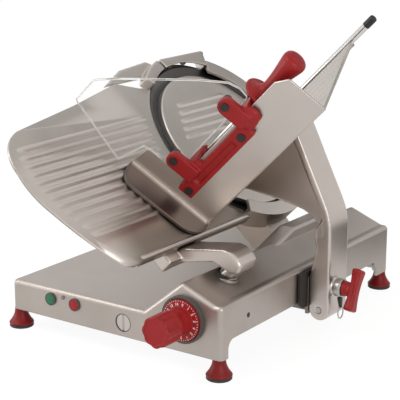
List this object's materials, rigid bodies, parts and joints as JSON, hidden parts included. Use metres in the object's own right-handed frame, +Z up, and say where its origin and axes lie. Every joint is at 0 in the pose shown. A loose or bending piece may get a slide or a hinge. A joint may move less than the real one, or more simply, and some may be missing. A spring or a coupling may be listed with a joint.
{
  "type": "meat slicer",
  "caption": "Tabletop electric food slicer with a tilted round blade, ribbed gauge plate, sliding tray with handle and clear guard, thickness dial and push buttons.",
  "frame": {"origin": "centre of the whole machine's footprint, at table level under the feet", "axes": "+Z up; +Y along the carriage stroke, away from the control face; +X to the right of the control face, towards the carriage arm"},
  "size_m": [0.5728, 0.7697, 0.5641],
  "materials": {
    "cast_body": "satin anodised casting",
    "plate_alu": "satin anodised",
    "steel_sheet": "plain sheet",
    "steel_bright": "machined",
    "blade_steel": "ground steel",
    "rod_chrome": "polished",
    "bush_brass": "machined",
    "motor_paint": "semi-gloss paint",
    "red_plastic": "satin moulded",
    "red_foot": "satin moulded",
    "red_button": "gloss",
    "green_button": "gloss",
    "dark_plastic": "matt moulded",
    "dark_ring": "satin moulded",
    "lamp_lens": "gloss",
    "pad_rubber": "matt",
    "belt_rubber": "matt",
    "abrasive": "rough",
    "clear_sheet": "clear polished"
  },
  "bodies": {
    "base": {"base_housing": "cast_body", "base_bottom_cover": "steel_sheet", "feet": "red_foot", "foot_pads": "pad_rubber", "foot_studs": "steel_bright", "button_bezels": "dark_ring", "switch_blocks": "dark_plastic", "pilot_lamp": "lamp_lens", "dial_bezel": "dark_ring", "blade_bearings": "steel_bright", "blade_housing": "cast_body", "belt_cover": "cast_body", "blade_cover": "plate_alu", "cover_tie_rod": "steel_bright", "ring_guard": "plate_alu", "top_guard": "plate_alu", "sharpener_body": "plate_alu", "gearbox": "motor_paint", "gear_motor": "motor_paint", "motor_mount": "cast_body", "drive_belt": "belt_rubber", "post_guide": "cast_body", "post_seal": "pad_rubber", "carriage_rod": "rod_chrome", "carriage_rod_blocks": "cast_body", "guide_bar": "steel_bright", "power_gland": "dark_plastic"},
    "start_button": {"start_button": "green_button"},
    "stop_button": {"stop_button": "red_button"},
    "door_lock": {"door_lock": "plate_alu"},
    "dial": {"dial_scale_disc": "red_plastic", "dial_grip": "red_plastic", "dial_cam": "steel_bright"},
    "gauge": {"gauge_plate": "plate_alu", "gauge_support": "cast_body", "gauge_post": "steel_bright"},
    "blade_rotor": {"blade": "blade_steel", "blade_hub": "steel_bright"},
    "motor_pulley": {"motor_pulley": "steel_bright"},
    "grinding_stone": {"grinding_stone": "abrasive"},
    "finishing_stone": {"finishing_stone": "abrasive"},
    "carriage": {"carriage_shoe": "cast_body", "carriage_bushes": "bush_brass", "guide_studs": "steel_bright"},
    "arm": {"carriage_arm": "cast_body", "arm_pivot_pin": "steel_bright", "tray_wall": "plate_alu", "tray_floor": "plate_alu", "handle_bracket": "red_plastic", "screw_caps": "dark_plastic", "handle_rod": "rod_chrome", "carriage_handle": "red_plastic", "clear_guard": "clear_sheet", "guard_nuts": "dark_plastic", "pusher_rod": "rod_chrome", "pusher_rod_cap": "dark_plastic"},
    "clamp": {"lock_knob": "red_plastic", "lock_stud": "steel_bright"},
    "pusher": {"pusher": "plate_alu", "pusher_knob": "red_plastic"}
  },
  "joints": [
    {"name": "start_press", "type": "slide", "parent": "base", "child": "start_button", "axis": [0, 1, 0], "range_m": [0, 0.003], "stiffness_N_per_m": 300, "springref_m": -0.003},
    {"name": "stop_press", "type": "slide", "parent": "base", "child": "stop_button", "axis": [0, 1, 0], "range_m": [0, 0.003], "stiffness_N_per_m": 300, "springref_m": -0.003},
    {"name": "door_lock_turn", "type": "hinge", "parent": "base", "child": "door_lock", "pos_m": [-0.0145, -0.222, 0.061], "axis": [0, 1, 0], "range_deg": [0, 90]},
    {"name": "dial_turn", "type": "hinge", "parent": "base", "child": "dial", "pos_m": [0.114, -0.249, 0.095], "axis": [0, 1, 0], "range_deg": [0, 300]},
    {"name": "gauge_slide", "type": "slide", "parent": "base", "child": "gauge", "axis": [-0.7071, 0, -0.7071], "range_m": [0, 0.015]},
    {"name": "blade_spin", "type": "hinge", "parent": "base", "child": "blade_rotor", "pos_m": [-0.06051, 0.161, 0.31042], "axis": [0.7071, 0, 0.7071], "continuous": true},
    {"name": "motor_spin", "type": "hinge", "parent": "base", "child": "motor_pulley", "pos_m": [0.09011, 0.161, 0.08627], "axis": [0.7071, 0, 0.7071], "continuous": true},
    {"name": "grinding_spin", "type": "hinge", "parent": "base", "child": "grinding_stone", "pos_m": [-0.18552, 0.14501, 0.44392], "axis": [0.7071, 0, 0.7071], "continuous": true},
    {"name": "finishing_spin", "type": "hinge", "parent": "base", "child": "finishing_stone", "pos_m": [-0.18477, 0.18978, 0.44317], "axis": [0.7071, 0, 0.7071], "continuous": true},
    {"name": "carriage_slide", "type": "slide", "parent": "base", "child": "carriage", "axis": [0, 1, 0], "range_m": [-0.19, 0.115]},
    {"name": "arm_tilt", "type": "hinge", "parent": "carriage", "child": "arm", "pos_m": [0.217, 0.076, 0.053], "axis": [0, 1, 0], "range_deg": [0, 25]},
    {"name": "clamp_turn", "type": "hinge", "parent": "arm", "child": "clamp", "pos_m": [0.26, 0.059, 0.097], "axis": [1, 0, 0], "range_deg": [0, 180]},
    {"name": "pusher_slide", "type": "slide", "parent": "arm", "child": "pusher", "axis": [0.7071, 0, 0.7071], "range_m": [0, 0.2]}
  ],
  "couplings": [
    {"joint": "dial_turn", "follows": "gauge_slide", "rad_per_m": 349.07},
    {"joint": "motor_spin", "follows": "blade_spin", "ratio": 3}
  ]
}
